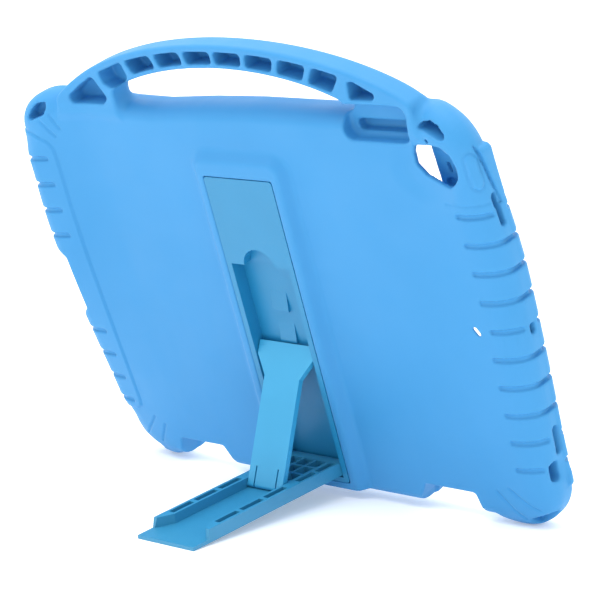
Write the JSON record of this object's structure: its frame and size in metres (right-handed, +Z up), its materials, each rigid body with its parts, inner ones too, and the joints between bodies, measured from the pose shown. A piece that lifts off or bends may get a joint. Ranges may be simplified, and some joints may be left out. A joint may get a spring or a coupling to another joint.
{
  "type": "silicone tablet case",
  "caption": "Protective silicone case for a tablet, with an arched carry handle, ribbed bumpers and a folding plastic stand on its back.",
  "frame": {"origin": "bottom centre of the bounding box, on the surface that the case stands on", "axes": "+Z up, +X across the case to the left when it is seen from behind, +Y out of the back towards the stand's foot"},
  "size_m": [0.2796, 0.1304, 0.2239],
  "materials": {
    "silicone": "soft matte silicone, light blue",
    "plate_plastic": "satin moulded plastic, blue",
    "foot_plastic": "satin moulded plastic, deeper blue",
    "strut_plastic": "satin moulded plastic, blue",
    "pin_steel": "plain steel"
  },
  "bodies": {
    "case": {"silicone_shell": "silicone", "stand_plate": "plate_plastic", "foot_hinge_pin": "pin_steel"},
    "foot": {"stand_foot": "foot_plastic"},
    "strut": {"stand_strut": "strut_plastic"}
  },
  "joints": [
    {"name": "foot_hinge", "type": "hinge", "parent": "case", "child": "foot", "pos_m": [-0.00001, -0.03993, 0.01547], "axis": [1, 0, 0], "range_deg": [0, 79.51]},
    {"name": "strut_hinge", "type": "hinge", "parent": "foot", "child": "strut", "pos_m": [-0.00001, -0.00315, 0.01148], "axis": [1, 0, 0], "range_deg": [-113.6, 0]}
  ],
  "couplings": [
    {"joint": "strut_hinge", "follows": "foot_hinge", "ratio": -1.4287}
  ]
}
